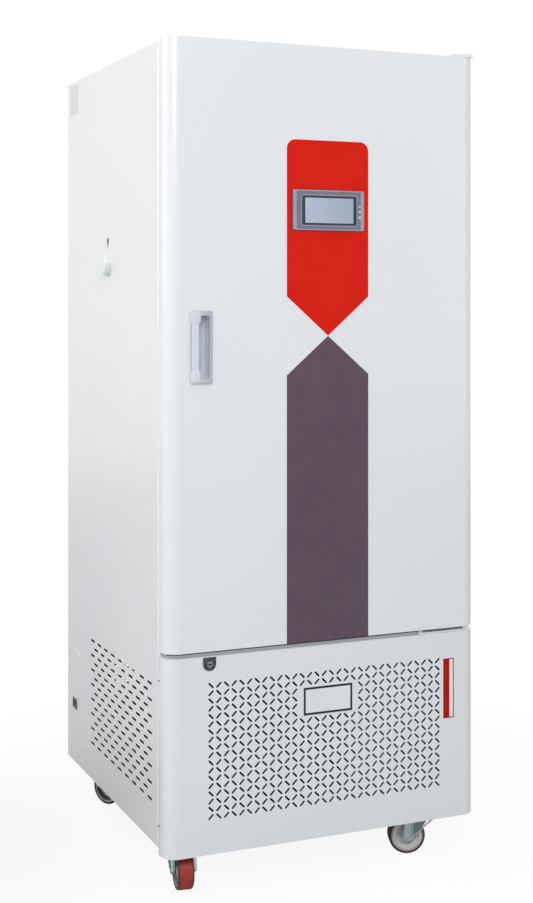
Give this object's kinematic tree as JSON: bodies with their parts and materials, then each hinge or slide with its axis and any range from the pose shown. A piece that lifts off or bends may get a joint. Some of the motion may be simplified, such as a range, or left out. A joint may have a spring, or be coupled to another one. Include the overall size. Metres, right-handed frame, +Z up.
{
  "type": "climate chamber",
  "caption": "Floor-standing climate chamber on swivel casters, with a full-height hinged door, an inner glass door, wire shelves and a slotted machine compartment below.",
  "frame": {"origin": "on the floor, under the middle of the cabinet", "axes": "+Z up, the door faces -Y, +X to the right seen from the front"},
  "size_m": [0.695, 0.7005, 1.647],
  "materials": {
    "white_paint": "satin",
    "white_plastic": "satin",
    "foam": "matte",
    "stainless": "satin",
    "zinc_steel": "satin",
    "lock_metal": "satin",
    "gasket_rubber": "matte",
    "red_film": "satin",
    "maroon_film": "satin",
    "bezel_plastic": "satin",
    "screen_glass": "gloss",
    "handle_plastic": "satin",
    "grip_plastic": "gloss",
    "blank_plate": "satin",
    "notice_plate": "satin",
    "clear_glass": "gloss",
    "aluminium_fins": "satin",
    "black_paint": "satin",
    "dark_plastic": "matte",
    "grey_paint": "satin",
    "tank_plastic": "satin",
    "lamp_plastic": "satin",
    "port_plastic": "gloss",
    "tread_rubber": "satin"
  },
  "bodies": {
    "cabinet": {"left_side_panel": "white_paint", "right_side_panel": "white_paint", "top_panel": "white_paint", "rear_panel": "white_paint", "front_frame": "white_plastic", "cabinet_foam": "foam", "inner_liner": "stainless", "base_tray": "grey_paint", "machine_deck": "zinc_steel", "lower_front_panel": "white_paint", "panel_screws": "zinc_steel", "nameplate": "blank_plate", "notice_tag": "notice_plate", "lock_plate": "lock_metal", "air_duct_plate": "stainless", "evaporator": "aluminium_fins", "heater_element": "stainless", "circulation_motor": "grey_paint", "shelf_uprights": "stainless", "shelf_clips": "stainless", "wire_shelves": "stainless", "sensor_probe": "stainless", "interior_lamp": "lamp_plastic", "compressor": "black_paint", "condenser": "aluminium_fins", "condenser_motor": "dark_plastic", "control_box": "grey_paint", "water_tank": "tank_plastic", "power_inlet": "dark_plastic", "service_cover": "white_paint", "test_port_sleeve": "white_plastic", "caster_plates": "zinc_steel", "top_hinge_bracket": "white_paint", "bottom_hinge_bracket": "zinc_steel", "drain_spigot": "white_plastic"},
    "outer_door": {"door_outer_panel": "white_paint", "door_foam": "foam", "door_inner_panel": "white_plastic", "door_gasket": "gasket_rubber", "handle_housing": "handle_plastic", "handle_grip": "grip_plastic", "red_panel": "red_film", "maroon_panel": "maroon_film", "hmi_unit": "bezel_plastic", "hmi_screen": "screen_glass"},
    "glass_door": {"glass_pane": "clear_glass", "glass_door_fittings": "stainless"},
    "lock": {"lock_cylinder": "lock_metal"},
    "port_plug": {"test_port_plug": "port_plastic"},
    "chamber_fan": {"circulation_fan": "aluminium_fins"},
    "condenser_fan_wheel": {"condenser_fan": "dark_plastic"},
    "caster_front_left": {"caster_fork_front_left": "zinc_steel"},
    "caster_front_left_roller": {"caster_wheel_front_left": "tread_rubber"},
    "caster_front_right": {"caster_fork_front_right": "zinc_steel"},
    "caster_front_right_roller": {"caster_wheel_front_right": "tread_rubber"},
    "caster_rear_left": {"caster_fork_rear_left": "zinc_steel"},
    "caster_rear_left_roller": {"caster_wheel_rear_left": "tread_rubber"},
    "caster_rear_right": {"caster_fork_rear_right": "zinc_steel"},
    "caster_rear_right_roller": {"caster_wheel_rear_right": "tread_rubber"}
  },
  "joints": [
    {"name": "outer_door_hinge", "type": "hinge", "parent": "cabinet", "child": "outer_door", "pos_m": [0.321, -0.326, 1.05], "axis": [0, 0, 1], "range_deg": [0, 110]},
    {"name": "glass_door_hinge", "type": "hinge", "parent": "cabinet", "child": "glass_door", "pos_m": [0.27, -0.275, 1.05], "axis": [0, 0, 1], "range_deg": [0, 93.5]},
    {"name": "lock_turn", "type": "hinge", "parent": "cabinet", "child": "lock", "pos_m": [-0.2512, -0.33, 0.4423], "axis": [0, -1, 0], "range_deg": [0, 90]},
    {"name": "port_plug_pull", "type": "slide", "parent": "cabinet", "child": "port_plug", "axis": [-1, 0, 0], "range_m": [0, 0.05]},
    {"name": "chamber_fan_spin", "type": "hinge", "parent": "cabinet", "child": "chamber_fan", "pos_m": [0, 0.244, 1.34], "axis": [0, -1, 0], "continuous": true},
    {"name": "condenser_fan_spin", "type": "hinge", "parent": "cabinet", "child": "condenser_fan_wheel", "pos_m": [-0.115, -0.191, 0.252], "axis": [0, -1, 0], "continuous": true},
    {"name": "front_left_swivel", "type": "hinge", "parent": "cabinet", "child": "caster_front_left", "pos_m": [-0.282, -0.262, 0.09], "axis": [0, 0, 1], "continuous": true},
    {"name": "front_left_roll", "type": "hinge", "parent": "caster_front_left", "child": "caster_front_left_roller", "pos_m": [-0.28607, -0.28768, 0.0375], "axis": [-0.9877, 0.1564, 0], "continuous": true},
    {"name": "front_right_swivel", "type": "hinge", "parent": "cabinet", "child": "caster_front_right", "pos_m": [0.228, -0.296, 0.09], "axis": [0, 0, 1], "continuous": true},
    {"name": "front_right_roll", "type": "hinge", "parent": "caster_front_right", "child": "caster_front_right_roller", "pos_m": [0.20357, -0.28711, 0.0375], "axis": [0.342, 0.9397, 0], "continuous": true},
    {"name": "rear_left_swivel", "type": "hinge", "parent": "cabinet", "child": "caster_rear_left", "pos_m": [-0.282, 0.262, 0.09], "axis": [0, 0, 1], "continuous": true},
    {"name": "rear_left_roll", "type": "hinge", "parent": "caster_rear_left", "child": "caster_rear_left_roller", "pos_m": [-0.269, 0.23948, 0.0375], "axis": [-0.866, -0.5, 0], "continuous": true},
    {"name": "rear_right_swivel", "type": "hinge", "parent": "cabinet", "child": "caster_rear_right", "pos_m": [0.282, 0.262, 0.09], "axis": [0, 0, 1], "continuous": true},
    {"name": "rear_right_roll", "type": "hinge", "parent": "caster_rear_right", "child": "caster_rear_right_roller", "pos_m": [0.27311, 0.23757, 0.0375], "axis": [-0.9397, 0.342, 0], "continuous": true}
  ],
  "couplings": [
    {"joint": "glass_door_hinge", "follows": "outer_door_hinge", "ratio": 0.85}
  ]
}
